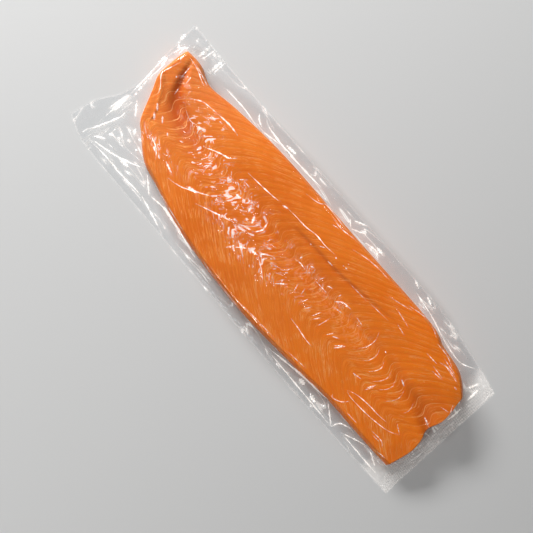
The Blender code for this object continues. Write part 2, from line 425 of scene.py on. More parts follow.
def filletHeight(u, v, s, y, width):
    # the height of the flesh, and how much painted shade darkens its hollows, with darker spots near both
    # ends
    length = fillet["length"]
    height = readCurve(fillet["thickness"], u) * readCurve(fillet["crown"], v)
    for distance, side in (((1 - v) * width, "roundBack"), (v * width, "roundBelly"),
                           (u * length, "roundNarrow"), ((1 - u) * length, "roundCut")):
        height = height * rounded(distance, fillet[side])
    groove = middleGroove(u, v, width)
    channel = trough(s, y, fillet["channel"])
    backGroove = trough(s, y, fillet["backGroove"])
    rim = fillet["rimHeight"] * bell(y - readCurve(fillet["rim"], s), fillet["rimWidth"])
    rim = rim * (s < fillet["rimEnd"])
    relief = rim - groove - channel - backGroove - flakeRelief(s, y)
    edge = smoothStep(height / fillet["reliefEdge"])
    # painted shade: colour darkens the channel and both grooves, and the darker spots are added to it
    hollowShadeAndSpots = (channel / fillet["channel"]["depth"]) ** fillet["channelFallOff"]
    hollowShadeAndSpots = hollowShadeAndSpots + fillet["grooveShade"] * groove / fillet["grooveDepthAtNotch"]
    hollowShadeAndSpots = hollowShadeAndSpots + fillet["backGrooveShade"] * backGroove / fillet["backGroove"]["depth"]
    for strength, spotS, spotY, spreadS, spreadY in fillet["deepSpots"]:
        hollowShadeAndSpots = hollowShadeAndSpots + strength * bell(s - spotS, spreadS) * bell(y - spotY, spreadY)
    return np.maximum(height + edge * relief, 0.0), np.clip(hollowShadeAndSpots, 0, 1)


def makeFillet():
    thing, order = addGrid("salmon_fillet", fillet["columns"], fillet["rows"])
    columns, rows = order.shape
    u, v = np.meshgrid(np.linspace(0, 1, columns), crowded(np.linspace(0, 1, rows)), indexing="ij")
    u = u - fillet["endCrowding"] * np.sin(2 * np.pi * u)
    plan = patchOf([fillet[side] for side in ("belly", "back", "narrow", "cut")], u, v)
    s, y = plan[..., 0], plan[..., 1]
    width = np.linalg.norm(plan[:, -1:] - plan[:, :1], axis=-1)
    top, hollowShadeAndSpots = filletHeight(u, v, s, y, width)
    places = pointsOf(thing)
    shape = np.stack([s + fillet["startX"], y, fillet["underside"] + top], axis=-1)
    places[order.ravel()] = shape.reshape(-1, 3)
    setPoints(thing, places)
    middle, spread = fillet["centreBand"]
    fields = {"muscle": seamPhase(s, y), "along": s, "across": y, "hollowShadeAndSpots": hollowShadeAndSpots,
              "centre": bell(y - middle, spread)}
    for name, values in fields.items():
        writeField(thing, name, order, values)
    closeBelow(thing)
    return thing


salmon = makeFillet()

# The look of the flesh. Each layer has a strength and a colour, and lies over those above it.
flesh = {
    "scatterWeight": 0.28,
    "scatterScale": 0.004,
    "scatterRadius": (1.0, 0.30, 0.08),
    "darkBody": (0.76, 0.162, 0.005),
    "lightBody": (0.86, 0.208, 0.010),
    "layers": {
        # painted light: the flesh is brighter towards the cut end, where the lamps fall off
        "cutEndLight": (0.9, (0.97, 0.218, 0.004)),
        # paler tone at the narrow end, darkened there as painted shade where the lamps are nearest
        "narrowEndToneAndShade": (0.7, (0.72, 0.205, 0.042)),
        "flake": (0.16, (0.70, 0.110, 0.002)),
        "fibre": (0.62, (1.0, 0.320, 0.045)),
        "fine": (0.40, (0.70, 0.105, 0.002)),
        # painted shade in the channel and grooves, also used for the darker spots
        "hollowShadeAndSpots": (0.75, (0.50, 0.065, 0.002)),
        "streak": (0.68, (1.0, 0.46, 0.15)),
        "speckle": (0.40, (0.95, 0.36, 0.15)),
        "seam": (0.50, (1.0, 0.48, 0.18)),
    },
    # how often each grain changes with the flakes, across and along, then its noise values
    "grain": {
        "streak": ((2.6, 30.0, 14.0), 1.0, 3.0, 0.6, 0.4),
        "flake": ((0.9, 14.0, 9.0), 1.3, 3.0, 0.6),
        "fibre": ((3.4, 34.0, 24.0), 2.2, 4.0, 0.62),
        "fine": ((8.0, 55.0, 26.0), 2.0, 3.0, 0.6),
    },
    "seamThin": 0.055,
    "seamWobble": 0.8,
    "streakThin": 0.026,
    "speckleStrip": (0.205, 0.240, 0.330, 0.360),
    "roughness": (0.46, 0.16),
    "bumpStrength": 0.15,
    "bumpDistance": 0.0004,
}


def salmonMaterial():
    bench = Bench("salmon_flesh", Metallic=0.0, Subsurface_Weight=flesh["scatterWeight"],
                  Subsurface_Scale=flesh["scatterScale"], IOR=1.3)
    bench.shader.inputs["Subsurface Radius"].default_value = flesh["scatterRadius"]
    place = bench.place()
    muscle, along, across, hollowShadeAndSpots, centre = (
        bench.field(name) for name in ("muscle", "along", "across", "hollowShadeAndSpots", "centre"))

    def grain(name):
        # noise that is drawn out along the flakes
        (byMuscle, byAcross, byAlong), *values = flesh["grain"][name]
        drawn = bench.vector(muscle * byMuscle, across * byAcross, along * byAlong)
        return bench.noise(drawn, *values)

    def lines(value, thin):
        # thin pale lines wherever the value passes a whole number
        phase = bench.node("ShaderNodeMath", {"operation": "FRACT"}, {0: value + 100.5})
        return bench.ease(abs(phase - 0.5), thin * 0.3, thin, 1.0, 0.0)

    wobble = (bench.noise(place, 30.0, 4.0, 0.6) - 0.5) * flesh["seamWobble"]
    patchy = bench.ease(bench.noise(place, 70.0, 3.0), 0.42, 0.60)
    belly = bench.ease(across, 0.022, -0.012)
    hatching = (belly * 0.45 + 0.55) * (patchy * 0.5 + 0.5)
    mottle = bench.noise(place, 16.0, 3.0)
    fibre, fine = grain("fibre"), grain("fine")
    seam = lines(muscle + wobble, flesh["seamThin"])
    seam = seam * (patchy * 0.55 + 0.10 + centre * 0.5 + hollowShadeAndSpots * 0.7)
    streak = bench.squiggles(grain("streak"), flesh["streakThin"]) * patchy
    # a pale speckled strip beside the middle groove
    fadeIn, full, fullEnd, fadeOut = flesh["speckleStrip"]
    strip = bench.ease(along, fadeIn, full) * bench.ease(along, fadeOut, fullEnd) * centre
    masks = {
        # painted light towards the cut end
        "cutEndLight": bench.ease(along, 0.20, 0.42),
        # paler tone at the narrow end, with painted shade
        "narrowEndToneAndShade": bench.ease(along, 0.14, 0.02),
        "flake": bench.ease(grain("flake"), 0.40, 0.62),
        "fibre": bench.ease(fibre, 0.46, 0.64) * hatching,
        "fine": bench.ease(fine, 0.48, 0.66) * hatching,
        "hollowShadeAndSpots": hollowShadeAndSpots,
        "streak": streak * (belly * 0.4 + 0.6),
        "speckle": strip * bench.ease(bench.noise(place, 240.0, 2.0, 0.6), 0.48, 0.60),
        "seam": seam,
    }
    body = bench.blend(bench.ease(mottle, 0.32, 0.70), flesh["darkBody"], flesh["lightBody"])
    for name, (strength, colour) in flesh["layers"].items():
        body = bench.blend(masks[name] * strength, body, colour)
    bench.feed("Base Color", body)
    least, more = flesh["roughness"]
    bench.feed("Roughness", least + mottle * more)
    relief = fibre * 0.5 + fine * 0.3 + seam * 0.3
    bench.feed("Normal", bench.bump(relief, flesh["bumpStrength"], flesh["bumpDistance"]))
    return bench.material


salmon.data.materials.append(salmonMaterial())


# The bag: film drawn over the fillet and down to a flat margin, closed below
print("bag")
bag = {
    "columns": 560,
    "rows": 166,
    "back": ((-0.2360, 0.0765), (-0.1600, 0.0765), (-0.010, 0.0815), (0.1305, 0.0855), (0.2005, 0.0800),
             (0.2385, 0.0735)),
    "belly": ((-0.2465, -0.0760), (-0.2260, -0.0830), (-0.2050, -0.0855), (-0.1395, -0.0850),
              (0.0505, -0.0819), (0.1615, -0.0783), (0.2465, -0.0732)),
    "narrow": ((-0.2465, -0.0760), (-0.2411, -0.0478), (-0.2300, -0.0233), (-0.2270, 0.0040),
               (-0.2304, 0.0236), (-0.2360, 0.0765)),
    "cut": ((0.2465, -0.0732), (0.2430, -0.0065), (0.2385, 0.0735)),
    # the film's height over the flesh, and over the surface that the pack lies on
    "cling": 0.00035,
    "least": 0.00015,
    "margin": 0.0008,
    "lowest": 0.0002,
    "tentSteps": 60,
    # the film lies fully on the flesh where that is this high, and is no more margin past the second height
    "fleshEdge": 0.010,
    "marginEdge": 0.004,
    # the plan's length and width, for the distance from the border
    "span": (0.49, 0.16),
    "slackEdge": 0.008,
    "hemWidth": 0.0011,
    # the seal at the cut end: where its border stands, how it leans, and how flat it presses the wrinkles
    "sealX": 0.2430,
    "sealLean": 0.031,
    "sealWidth": 0.0135,
    "sealEdge": 0.0012,
    "sealFlat": 0.8,
    "skirtX": 0.205,
    "skirtRun": 0.015,
    # the net of facets: spacing, half size and number of points drawn
    "netWide": 0.0130,
    "netClose": 0.0042,
    "netReach": (0.262, 0.095),
    "netDraws": 9000,
    # strength, middle and spread of each crumpled area
    "crumpled": ((0.90, -0.078, -0.002, 0.048, 0.018), (0.95, -0.040, -0.026, 0.040, 0.013),
                 (0.85, -0.165, -0.031, 0.028, 0.008), (0.75, -0.150, 0.016, 0.024, 0.009),
                 (0.70, -0.124, -0.004, 0.016, 0.014), (0.50, 0.010, -0.014, 0.045, 0.014),
                 (0.45, 0.045, 0.009, 0.070, 0.005), (0.30, -0.190, 0.030, 0.020, 0.014),
                 (0.55, -0.142, 0.032, 0.018, 0.007)),
    "crumpleRise": 0.0006,
    "calmRise": 0.00015,
    "slackRise": 0.0009,
    # creases wider than this, in millimetres, are flat patches that shine, with hardly any ridge
    "flatWidth": 2.3,
    "flatRise": 0.12,
    "ridgeRise": (0.20, 0.12),
    "filletCreaseRise": 0.6,
    "creaseWhite": 0.20,
    "marginFolds": {"width": 1.8, "rise": 1.8, "white": 2.6},
    "filletFolds": {"width": 0.95, "rise": 1.0, "white": 1.1},
    # folds shorter than this have few stations along them
    "shortFold": 0.008,
    "fewStations": 7,
    "manyStations": 31,
    "foldRise": 0.06,
    "foldLowest": 0.0004,
    "sink": 0.00012,
    "seed": 5,
}

# Creases in millimetres: width, whiteness, which is partly the whitening of creased film and partly a
# painted highlight, then the points that they run through.
# The first table has those of the margin, the second those of the film over the fillet.
marginCreases = (
    (1.2, 0.8, (-169.5, 59.5), (-139.5, 61), (-116.5, 58.5)),
    (1.2, 0.8, (-127.5, 70.5), (-121.5, 65.5), (-113.5, 62.5)),
    (1.8, 0.9, (-117.5, 71.5), (-109.5, 68.5), (-89.5, 67), (-59.5, 68), (-29.5, 70.5)),
    (1.2, 0.7, (-109.5, 60.5), (-89.5, 65.5)),
    (2.4, 0.9, (-84.5, 70.5), (-71.5, 72.5)),
    (1.2, 0.8, (11.5, 73.5), (19.5, 66.5)),
    (1.5, 0.9, (15.5, 74.5), (28.5, 81.5)),
    (1.4, 0.8, (19.5, 66.5), (34.5, 75.5)),
    (1.5, 0.8, (37.5, 68), (52.5, 72.5), (60.5, 67.5)),
    (3, 0.7, (51.5, 75.5), (59.5, 75.5)),
    (1.6, 0.7, (100.5, 84.5), (110.5, 81.5)),
    (1.8, 0.8, (120.5, 83.5), (131.5, 80.5)),
    (1.4, 0.8, (110.5, 77.5), (140.5, 73.5), (160.5, 68.5), (190.5, 66.5), (208.5, 75.5)),
    (1.8, 0.8, (221.5, 68.5), (217.5, 55.5)),
    (2.0, 0.8, (225.5, 63.5), (226.5, 48.5)),
    (2.2, 0.9, (228.5, 38.5), (229.0, 29.5), (228.0, 19.5)),
    (2, 0.8, (229.5, -16.5), (231.5, -17.5)),
    (2, 0.8, (232.5, -26.5), (233.5, -28.5)),
    (1.3, 0.7, (-214.5, -77.5), (-189.5, -76), (-164.5, -75.5), (-137.5, -73)),
    (1.4, 0.8, (-211.5, -75.5), (-184.5, -67.5), (-157.5, -54.5)),
    (3, 0.8, (-181.5, -66.5), (-168.5, -65.5)),
    (1.4, 0.8, (-151.5, -54.5), (-133.5, -67.5)),
    (2.2, 1, (-131.5, -66.5), (-109.5, -64), (-79.5, -67.5), (-59.5, -69.5)),
    (1.3, 0.7, (-137.5, -73.5), (-100.5, -80.5)),
    (1.8, 0.9, (60.5, -71.5), (80.5, -67.5), (100.5, -63.5), (135.5, -59)),
    (4, 0.8, (102.5, -67.5), (111.5, -67.5)),
    (3, 0.7, (121.5, -68.5), (131.5, -70.5)),
    (1.3, 0.7, (136.5, -58.5), (160.5, -73.5)),
    (1.5, 0.8, (160.5, -73.5), (163.5, -64.5), (173.5, -59.5)),
    (1.3, 0.7, (171.5, -69.5), (197.5, -57.5)),
    (1.2, 0.7, (171.5, -69.5), (200.5, -69.1), (227.5, -68.5)),
    (1.3, 0.7, (200.5, -57.5), (220.5, -65.5)),
    (1.2, 0.7, (60.5, -74), (110.5, -73.7), (160.5, -73.5)),
    (3.5, 0.3, (-234.5, 63.5), (-234, 55.5)),
    (1.6, 0.8, (-233.5, 53.5), (-227.5, 49.5), (-221.5, 57.5)),
    (1.5, 0.45, (-230.5, 33.5), (-226.5, 8.5), (-223.5, -18.5)),
    (1.3, 0.4, (-224.5, 8.5), (-219.5, -18.5)),
    (1.6, 0.8, (-214.5, -16.5), (-202.5, -28.5)),
    (1.4, 0.8, (-222.5, -71.5), (-212.5, -41.5), (-213.5, -31.5)),
    (1.6, 0.8, (-214.5, -72.5), (-204.5, -64.5)),
    (1.2, 0.7, (-223.5, -18.5), (-222.5, -50.5)),
    (3.2, 0.8, (-193.5, -35.5), (-189.5, -40.5)),
    (2.4, 0.8, (-183.5, -39.5), (-179.5, -39.5)),
    (2.2, 0.8, (-206.5, -59.5), (-202.5, -57.5)),
    (2.2, 0.8, (-198.5, -54.5), (-194.5, -54.5)),
    (2.2, 0.8, (-190.5, -48.5), (-186.5, -48.5)),
    (2, 0.7, (-177.5, -48.5), (-174.5, -48.5)),
    (3.6, 0.3, (-209.5, 75.5), (-208.5, 57.5)),
    (1.2, 0.4, (-203.5, 76.5), (-204.5, 58.5)),
    (3.8, 0.3, (-190.5, 76.5), (-189.5, 58.5)),
    (1.2, 0.4, (-187.5, 75.5), (-186.5, 57.5)),
    (4.4, 0.2, (-206.5, 72.5), (-190.5, 73.5)),
)
filletCreases = (
    (3.2, 0.8, (-217.5, 46.5), (-215.5, 41.5)),
    (1.6, 0.8, (-213.5, 41.5), (-216.5, 28.5), (-217.5, 19.5), (-207.5, 9.5), (-203.5, 2.5)),
    (3.4, 0.8, (-197.5, -2.5), (-191.5, -7.5)),
    (3.6, 0.8, (-192.5, -10.5), (-186.5, -15.5)),
    (3, 0.8, (-184.5, -6.5), (-178.5, -11.5)),
    (1.3, 0.7, (-204.5, 47.5), (-201.5, 30.5)),
    (1.4, 0.8, (-210.5, 50.5), (-199.5, 49.5), (-184.5, 44.5), (-179.5, 44.5)),
    (1.3, 0.7, (-202.5, 51.5), (-177.5, 46)),
    (1.3, 0.6, (-195.5, 39.5), (-193.5, 29.5)),
    (1.6, 0.7, (-195.5, 23.5), (-193.5, 15.5)),
    (2, 0.8, (-206, 29), (-204.5, 27.5)),
    (1.6, 0.8, (-179.5, 25.5), (-169.5, 32.5), (-161.5, 34.5), (-149.5, 36.5)),
    (2.6, 0.9, (-149.5, 36.5), (-134.5, 38.5), (-121.5, 38)),
    (1.4, 0.4, (-175.5, 15.5), (-163.5, 11.5), (-151.5, 13.5), (-139.5, 8.5)),
    (2, 0.9, (-133.5, 5.5), (-121.5, 12.5), (-109.5, 17.5), (-104.5, 23.5)),
    (1.3, 0.6, (-126.5, -6.5), (-123.5, 3.5)),
    (1.3, 0.6, (-119.5, 8.5), (-114.5, -14.5)),
    (3.6, 0.9, (-78.5, 0.5), (-72.5, 0.5)),
    (3.2, 0.8, (-66.5, 6.5), (-62.5, 5.5)),
    (3.4, 0.9, (-59.5, 4.5), (-56.5, -2.5)),
    (3.8, 0.9, (-50.5, 1.5), (-45.5, -6.5)),
    (2.4, 0.9, (-37.5, 7.5), (-34.5, -1.5), (-38.5, -10.5)),
    (1.4, 0.7, (-87.5, 11.5), (-83.5, 15.5)),
    (1.4, 0.7, (-98.5, 11.5), (-94.5, 7.5)),
    (1.4, 0.7, (-82.5, 14.5), (-74.5, 14.5)),
    (1.8, 0.8, (-179.5, -27.5), (-164.5, -31.5), (-155.5, -39.5)),
    (3, 0.8, (-167.5, -32.5), (-162.5, -34.5)),
    (3, 0.8, (-147.5, -32.5), (-140.5, -34.5), (-134.5, -35.5)),
    (2.6, 0.7, (-168.5, -13.5), (-165.5, -15.5)),
    (1.6, 0.7, (-154.5, -9.5), (-150.5, -7.5)),
    (1.6, 0.9, (-133.5, -41.5), (-117.5, -36.5), (-94.5, -21.5), (-89.5, -18.5)),
    (4.6, 0.9, (-115.5, -32.5), (-103.5, -28.5)),
    (1.8, 0.8, (-96.5, -36.5), (-79.5, -28.5), (-59.5, -19.5), (-54.5, -16.5)),
    (3.6, 0.9, (-26.5, -23.5), (-18.5, -21.5)),
    (1.3, 0.8, (-18.5, -20.5), (-12.5, -12.5)),
    (1.8, 0.8, (-39.5, -34.5), (-29.5, -24.5)),
    (1.5, 0.7, (-44.5, -41.5), (-39.5, -31.5)),
    (1.6, 0.8, (-17.5, -21.5), (-5.5, -27.5), (5.5, -34.5)),
    (1.4, 0.7, (13.5, -26.5), (22.5, -16.5)),
    (1.6, 0.8, (-86.5, 22.5), (-65.5, 25), (-49.5, 27.5), (-44.5, 29.5)),
    (3, 0.9, (-40.5, 28.5), (-34.5, 30.5)),
    (1.4, 0.8, (-34.5, 30.5), (-24.5, 31.5), (-9.5, 32.5), (3.5, 35.5), (16.5, 35.5), (30.5, 37.5)),
    (2.4, 0.8, (31.5, 36), (33.5, 36)),
    (1.5, 0.8, (42.5, 36.5), (43.5, 36.5)),
    (1.5, 0.8, (45.5, 37), (48, 37.5)),
    (1.4, 0.7, (44.5, 41.5), (45.5, 41.5)),
    (1.5, 0.7, (5.5, 25.5), (7.5, 25.5)),
    (1.4, 0.7, (12.5, 30.5), (18.5, 34.5)),
    (1.3, 0.7, (29.5, 28), (36.5, 28.5)),
    (2.2, 0.8, (10.5, 11.5), (10.5, 8.5)),
    (1.8, 0.8, (22.5, 11.5), (26.5, 13.5)),
    (1.8, 0.8, (38.5, 10.5), (40.5, 15.5)),
    (1.6, 0.8, (48.5, 12.5), (53.5, 14.5)),
    (1.5, 0.7, (63.5, 13.5), (63.5, 17.5)),
    (1.4, 0.7, (8.5, 4.5), (14.5, 6), (22.5, 5.5)),
    (1.4, 0.7, (37.5, 6.5), (53.5, 7.5)),
    (2, 0.8, (64.5, 7.5), (70.5, 13.5), (80.5, 15.5)),
    (1.8, 0.7, (67.5, 3.5), (78.5, 6.5)),
    (1.3, 0.7, (64.5, -8.5), (61.5, -18.5)),
    (1.3, 0.6, (74.5, -6.5), (72.5, -20.5)),
    (1.3, 0.6, (88.5, -11.5), (84.5, -19.5)),
    (1.3, 0.7, (104.5, -11.5), (97.5, -20.5)),
    (1.3, 0.7, (130.5, -22.5), (140.5, -20)),
    (1.3, 0.6, (150.5, -24.5), (154.5, -15.5)),
    (1.6, 0.7, (50.5, -35.5), (60.5, -36), (75.5, -37.5), (85.5, -37.5)),
    (1.8, 0.6, (-34.5, 53.5), (-24.5, 55.5), (-17.5, 58.5), (-11.5, 62.5), (20.5, 61)),
    (1.6, 0.6, (0.5, 58.5), (15.5, 58.5), (32.5, 62.5)),
    (1.3, 0.5, (4.5, 54), (12.5, 56.5)),
    (1.6, 0.6, (36.5, 54), (50.5, 58.5), (65.5, 61.5), (83.5, 62.5)),
    (1.4, 0.6, (94.5, 52.5), (107.5, 56.5), (120.5, 61.5)),
    (1.4, 0.6, (113.5, 61.5), (130.5, 66.5), (140.5, 69)),
    (1.4, 0.6, (143.5, 67.5), (155.5, 62.5)),
    (1.4, 0.7, (160.5, 59.5), (175.5, 59.5), (188.5, 55.5)),
    (2.6, 0.7, (194.5, 60.5), (197.5, 60.5)),
    (1.4, 0.7, (175.5, 49.5), (186.5, 52.5), (200.5, 51.5)),
    (1.4, 0.7, (160.5, 45.5), (175.5, 46.5)),
    (1.4, 0.7, (177.5, 38.5), (190.5, 40.5)),
    (2.2, 0.7, (203.5, 45.5), (207.5, 45.5)),
    (1.4, 0.8, (140.5, -37.5), (150.5, -33), (165.5, -30.5), (178.5, -29.5), (190.5, -27.5)),
    (1.4, 0.8, (140.5, -37.5), (147.5, -39.5), (172.5, -37.5), (195.5, -32.5), (207.5, -25.5)),
    (1.4, 0.7, (186.5, -44.5), (200.5, -43.5), (206.5, -47.5)),
    (1.3, 0.6, (190.5, -46.5), (200.5, -45.5)),
    (1.4, 0.8, (134.5, -51.5), (137.5, -53.5), (145.5, -49.5), (150.5, -42.5)),
    (1.3, 0.6, (156.5, -52), (172.5, -51)),
    (1.4, 0.7, (207.5, -53), (216.5, -51.5)),
    (1.6, 0.5, (-139.5, -54.5), (-119.5, -58.5), (-79.5, -63.5)),
    (1.5, 0.5, (-49.5, -66.5), (-29.5, -68.5)),
    (1.5, 0.5, (-29.5, -69), (15.5, -69)),
    (1.5, 0.5, (0.5, -65.5), (30.5, -62.5), (57.5, -60.5)),
    (1.5, 0.5, (72.5, -59), (98.5, -55.5)),
    (2.4, 0.7, (74.5, 14.5), (77, 14)),
    (1.5, 0.6, (89.5, 15), (100.5, 14)),
    (1.1, 0.6, (115.5, 22.5), (119.5, 14.5), (119, 4.5), (114.5, -3.5)),
    (1.1, 0.6, (128.5, 12.5), (131.5, 6.5), (130.5, -2.5), (126.5, -7.5)),
    (1.1, 0.6, (140.5, 8.5), (144, 2.5), (142.5, -4.5), (138.5, -10.5)),
    (1.1, 0.5, (152.5, 7.5), (155.5, 1.5), (153.5, -6.5), (148.5, -13.5)),
    (1.1, 0.5, (162.5, 5.5), (165, -0.5), (163.5, -7.5), (158.5, -14)),
    (1.1, 0.5, (175.5, 5.5), (178, -1.5), (176.5, -9), (171.5, -16.5)),
    (1.1, 0.4, (191.5, 4.5), (194, -2.5), (192.5, -9.5)),
    (1.8, 0.6, (133.5, 15.5), (136, 15)),
    (2.6, 0.7, (165.5, 10.5), (172.5, 8)),
    (2.8, 0.7, (208.5, 4.5), (215.5, 2.5), (220.5, 1)),
    (2.0, 0.8, (89.5, -15.5), (95.5, -11.5)),
    (2.2, 0.9, (99.5, -21.5), (105.5, -11.5)),
    (1.6, 0.7, (64.5, -19.5), (68.5, -12.5)),
    (2.0, 0.8, (130.5, -22), (134.5, -22.5)),
    (2.0, 0.9, (150.5, -21.5), (154, -13)),
    (2.4, 0.9, (14.5, -25.5), (20.5, -18.5)),
    (1.3, 0.6, (28.5, -8.5), (31.5, -16.5)),
    (1.3, 0.6, (36.5, -6.5), (38.5, -13.5)),
    (1.3, 0.6, (46.5, -9.5), (44.5, -17.5)),
    (1.3, 0.6, (54.5, -12.5), (51.5, -19.5)),
    (1.3, 0.5, (107.5, 50.5), (130.5, 47.5)),
    (1.3, 0.6, (175.5, 55.5), (196.5, 53.5)),
    (1.3, 0.6, (178.5, 52.5), (204.5, 50)),
    (1.4, 0.6, (174.5, 42.5), (190.5, 41.5)),
    (1.2, 0.5, (120.5, 41.5), (133.5, 39.5)),
    (2.2, 0.7, (208.5, 57.5), (213.5, 52.5)),
    (1.4, 0.6, (216.5, 33.5), (222.5, 24.5)),
    (1.4, 0.6, (210.5, 22.5), (219.5, 25.5)),
    (1.2, 0.5, (196.5, -20.5), (206.5, -25.5)),
    (1.2, 0.4, (60.5, 30.5), (84.5, 32.5)),
    (1.2, 0.4, (86.5, 33.5), (112.5, 36.5)),
)


def relaxed(obstacle, steps):
    # film pulled tight over what is under it
    sheet = obstacle.copy()
    for _ in range(steps):
        mean = sheet.copy()
        mean[1:-1, 1:-1] = 0.25 * (sheet[2:, 1:-1] + sheet[:-2, 1:-1] + sheet[1:-1, 2:] + sheet[1:-1, :-2])
        sheet = np.maximum(obstacle, mean)
    return sheet


def crumpleShare(x, y):
    # how strongly the film is crumpled over the fillet, most of all along its middle at the narrow half
    share = 0.0
    for strength, middleX, middleY, spreadX, spreadY in bag["crumpled"]:
        share = share + strength * bell(x - middleX, spreadX) * bell(y - middleY, spreadY)
    return np.clip(share, 0, 1)


def scatterPoints(chance):
    # a seeded draw of points, closer together where the film is crumpled
    farX, farY = bag["netReach"]
    kept = np.array([[-farX, -farY], [farX, -farY], [farX, farY], [-farX, farY]])
    for point in chance.uniform((-farX, -farY), (farX, farY), (bag["netDraws"], 2)):
        spacing = bag["netWide"] + (bag["netClose"] - bag["netWide"]) * crumpleShare(*point)
        if np.min(np.hypot(*(kept - point).T)) > spacing:
            kept = np.vstack([kept, point])
    return kept


def makeNet():
    # the points joined into triangles: the facets and creases of crumpled film
    chance = np.random.default_rng(bag["seed"])
    points = scatterPoints(chance)
    corners, _, faces = delaunay_2d_cdt([Vector(point) for point in points], [], [], 0, 1e-6)[:3]
    net = {"corners": np.array([tuple(corner) for corner in corners]), "faces": faces}
    net["heights"] = chance.uniform(-1, 1, len(corners))
    return net


def readNet(net, x, y):
    # the height of the facets over each place, from -1 to 1
    tops = [(*corner, height * mm) for corner, height in zip(net["corners"], net["heights"])]
    tree = BVHTree.FromPolygons(tops, net["faces"])
    heights = np.zeros(x.size)
    for k, (px, py) in enumerate(zip(x.ravel(), y.ravel())):
        place = tree.ray_cast(Vector((px, py, 1.0)), Vector((0, 0, -1)))[0]
        if place is not None:
            heights[k] = place.z / mm
    return heights.reshape(x.shape)


def addCreases(creases, x, y, lift, white, rise):
    # a sharp ridge along each crease, tapering at its ends, and its whiteness, which is partly creased film
    # and partly a painted highlight
    base, more = bag["ridgeRise"]
    for width, whiteness, *points in creases:
        path = smoothLine(points, 5) * mm
        reach = 1.5 * width * mm
        low, high = path.min(axis=0) - reach, path.max(axis=0) + reach
        near = (x > low[0]) & (x < high[0]) & (y > low[1]) & (y < high[1])
        distance, share = distanceTo(path, x[near], y[near])
        taper = np.sin(np.pi * np.clip(share, 0.05, 0.95)) ** 0.4
        uneven = 0.75 + 0.25 * np.sin(share * 19.0 + width * 40.0) * np.sin(share * 47.0 + whiteness * 30.0)
        ridge = np.clip(1 - distance / (width * mm * 0.9), 0, 1) * taper
        height = base + more * width if width < bag["flatWidth"] else bag["flatRise"]
        lift[near] = np.maximum(lift[near], ridge * rise * height * mm)
        shine = whiteness * uneven * taper * bell(distance, width * mm * 0.42)
        white[near] = np.maximum(white[near], shine)


def makeBag():
    thing, order = addGrid("clear_bag", bag["columns"], bag["rows"])
    columns, rows = order.shape
    u, v = np.meshgrid(np.linspace(0, 1, columns), np.linspace(0, 1, rows), indexing="ij")
    plan = patchOf([bag[side] for side in ("belly", "back", "narrow", "cut")], u, v)
    x, y = plan[..., 0], plan[..., 1]
    fleshTop = heightsUnder(salmon, x, y)
    obstacle = np.where(fleshTop > 0, fleshTop + bag["cling"], bag["margin"])
    obstacle = np.maximum(obstacle, bag["margin"])
    sheet = relaxed(obstacle, bag["tentSteps"])
    onFlesh = smoothStep(fleshTop / bag["fleshEdge"])
    beside = 1 - smoothStep(fleshTop / bag["marginEdge"])
    spanX, spanY = bag["span"]
    border = np.minimum(np.minimum(u, 1 - u) * spanX, np.minimum(v, 1 - v) * spanY)
    slack = beside * smoothStep(border / bag["slackEdge"])
    fromCut = bag["sealX"] - bag["sealLean"] * y - x
    seal = smoothStep((bag["sealWidth"] - fromCut) / bag["sealEdge"])
    share = crumpleShare(x, y) * onFlesh
    facets = readNet(makeNet(), x, y)
    wrinkle = facets * (share * bag["crumpleRise"] + onFlesh * bag["calmRise"])
    wrinkle += slack * (1.0 - bag["sealFlat"] * seal) * bag["slackRise"] * np.abs(facets)
    lift, white = np.zeros(x.shape), np.zeros(x.shape)
    addCreases(marginCreases, x, y, lift, white, 1.0)
    addCreases(filletCreases, x, y, lift, white, bag["filletCreaseRise"])
    sheet = np.maximum(sheet + wrinkle + lift, np.maximum(fleshTop + bag["least"], bag["lowest"]))
    places = pointsOf(thing)
    places[order.ravel()] = np.stack([x, y, sheet], axis=-1).reshape(-1, 3)
    setPoints(thing, places)
    fields = {
        "white": white * bag["creaseWhite"],
        "seal": seal,
        "hem": bell(border, bag["hemWidth"]),
        "loose": share,
        "cover": onFlesh,
        "muscle": seamPhase(x - fillet["startX"], y),
        # all the film beside the fillet, and the film between the cut end and the seal, which the material
        # lightens as a painted reflection in the fillet's shadow
        "margin": beside * (1 - seal),
        "skirt": (1 - onFlesh) * smoothStep((x - bag["skirtX"]) / bag["skirtRun"]) * (1 - seal),
    }
    for name, values in fields.items():
        writeField(thing, name, order, values)
    below = closeBelow(thing)
    clearFields(thing, fields, below)
    return thing


film = makeBag()


def ridgeBar(stations):
    # a five-sided bar standing on end, with a ring of points at each station
    deselectAll()
    bpy.ops.mesh.primitive_cylinder_add(vertices=5, radius=0.5, depth=1.0, location=(0, 0, 0))
    bar = bpy.context.object
    for face in bar.data.polygons:
        face.select = face.center.z > 0.4
    bpy.ops.object.mode_set(mode="EDIT")
    bpy.ops.mesh.select_mode(type="FACE")
    for _ in range(stations - 2):
        bpy.ops.mesh.extrude_region_move(TRANSFORM_OT_translate={"value": (0, 0, 1.0)})
    bpy.ops.object.mode_set(mode="OBJECT")
    return bar


